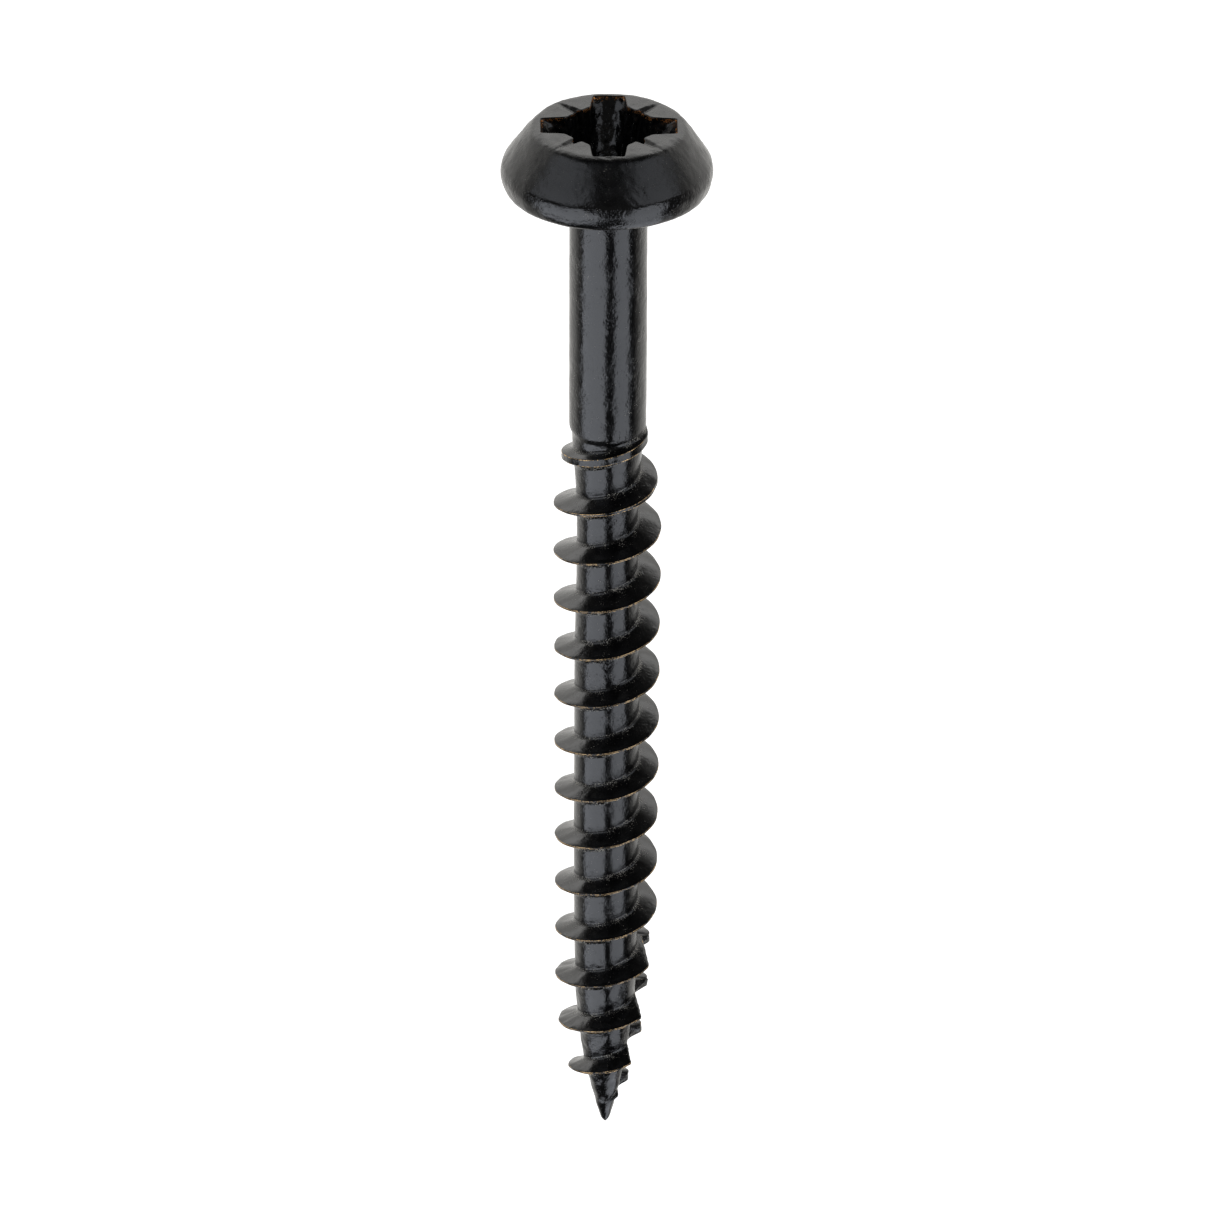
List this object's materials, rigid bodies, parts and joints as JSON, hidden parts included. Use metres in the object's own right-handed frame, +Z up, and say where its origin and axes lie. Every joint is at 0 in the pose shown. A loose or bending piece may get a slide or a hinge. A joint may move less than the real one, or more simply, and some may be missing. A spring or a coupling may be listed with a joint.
{
  "type": "wood screw",
  "caption": "Pan-head wood screw with a cross recess, a plain shank, a right-hand coarse thread and a cutting notch in its point, coated black.",
  "frame": {"origin": "on the screw's axis, in the bearing plane under the head", "axes": "+Z up the axis and out of the head, so the point is at -Z; +X is the side with the cutting notch; the recess wings lie along X and Y"},
  "size_m": [0.0076, 0.0076, 0.0418],
  "materials": {
    "black_lacquer": "glossy black baked lacquer over yellow-passivated zinc on steel",
    "worn_edge": "thin coat rubbed through to the yellow-passivated zinc along crests and recess edges"
  },
  "bodies": {
    "root": {"head": "black_lacquer", "shank": "black_lacquer", "threaded_core": "black_lacquer", "thread": "black_lacquer", "point": "black_lacquer"}
  },
  "joints": []
}
